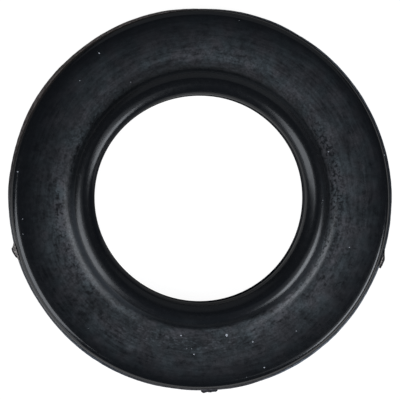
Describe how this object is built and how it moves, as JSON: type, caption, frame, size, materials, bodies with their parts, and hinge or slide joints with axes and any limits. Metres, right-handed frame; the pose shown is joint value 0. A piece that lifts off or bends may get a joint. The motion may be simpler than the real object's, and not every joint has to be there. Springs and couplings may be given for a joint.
{
  "type": "sealing ring",
  "caption": "Moulded rubber sealing ring: a flat flange with a rounded rim, and a round bead standing round a straight bore.",
  "frame": {"origin": "on the bore's axis, at the flat underside", "axes": "+Z along the bore's axis, from the flat underside up through the bead; +X and +Y lie in the underside, placed by the torn ends of flash on the rim"},
  "size_m": [0.06, 0.0603, 0.0047],
  "materials": {
    "rubber": "soft black moulded rubber, satin on the bead and rim, with a grey powdery bloom on the flange"
  },
  "bodies": {
    "root": {"sealing_ring": "rubber"}
  },
  "joints": []
}
